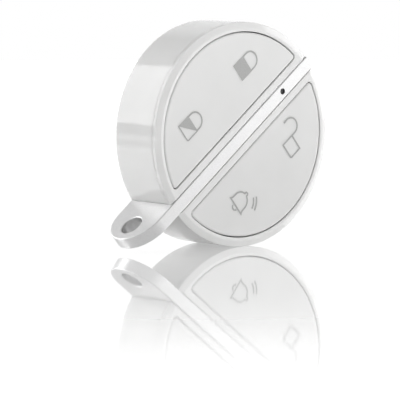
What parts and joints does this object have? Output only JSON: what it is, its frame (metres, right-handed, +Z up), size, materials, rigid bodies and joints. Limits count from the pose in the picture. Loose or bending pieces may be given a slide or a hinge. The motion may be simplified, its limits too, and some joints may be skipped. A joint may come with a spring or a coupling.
{
  "type": "remote key fob",
  "caption": "Round remote key fob with two D-shaped rocker keys, a metal plate between them that ends in a key-ring lug, and a bayonet battery door.",
  "frame": {"origin": "middle of the bottom of the bounding box, on the ground under the fob as it stands on its rim", "axes": "+Z up; +Y is the outward normal of the back, so the keys face -Y; the metal plate leans 38.4 degrees above +X, with its lug at the lower left"},
  "size_m": [0.0494, 0.013, 0.0452],
  "materials": {
    "shell_plastic": "white ABS, satin",
    "key_plastic": "white ABS, fine gloss",
    "plate_metal": "brushed, bead-blasted faces",
    "silicone": "translucent silicone",
    "seal_rubber": "black O-ring",
    "board_laminate": "green solder mask",
    "chip_black": "moulded black",
    "component_tan": "ceramic",
    "spring_metal": "nickel-plated",
    "crystal_can": "satin",
    "cell_can": "polished steel",
    "screw_steel": "zinc-plated",
    "pin_steel": "ground",
    "wire_metal": "tinned wire",
    "led_case": "clear resin on white",
    "smoked_plastic": "smoked",
    "cradle_plastic": "black nylon"
  },
  "bodies": {
    "body": {"rear_shell": "shell_plastic", "front_cover": "shell_plastic", "centre_plate": "plate_metal", "left_key_mat": "silicone", "right_key_mat": "silicone", "circuit_board": "board_laminate", "snap_domes": "spring_metal", "led": "led_case", "light_pipe": "smoked_plastic", "radio_chip": "chip_black", "controller_chip": "chip_black", "crystal": "crystal_can", "chip_passives": "component_tan", "antenna": "wire_metal", "coin_cell": "cell_can", "battery_cradle": "cradle_plastic", "negative_contact": "spring_metal", "positive_contact": "spring_metal", "case_screws": "screw_steel", "lug_pin": "pin_steel"},
    "left_rocker": {"left_key": "key_plastic"},
    "right_rocker": {"right_key": "key_plastic"},
    "door": {"battery_door": "shell_plastic", "door_seal": "seal_rubber"}
  },
  "joints": [
    {"name": "left_key_rock", "type": "hinge", "parent": "body", "child": "left_rocker", "pos_m": [-0.00523, -0.0043, 0.03189], "axis": [0.6211, 0, -0.7837], "range_deg": [-1.5, 1.5], "stiffness_Nm_per_rad": 0.6},
    {"name": "right_key_rock", "type": "hinge", "parent": "body", "child": "right_rocker", "pos_m": [0.00949, -0.0043, 0.01331], "axis": [0.6211, 0, -0.7837], "range_deg": [-1.5, 1.5], "stiffness_Nm_per_rad": 0.6},
    {"name": "battery_door_turn", "type": "hinge", "parent": "body", "child": "door", "pos_m": [0.00213, 0.0065, 0.0226], "axis": [0, 1, 0], "range_deg": [0, 30]}
  ]
}
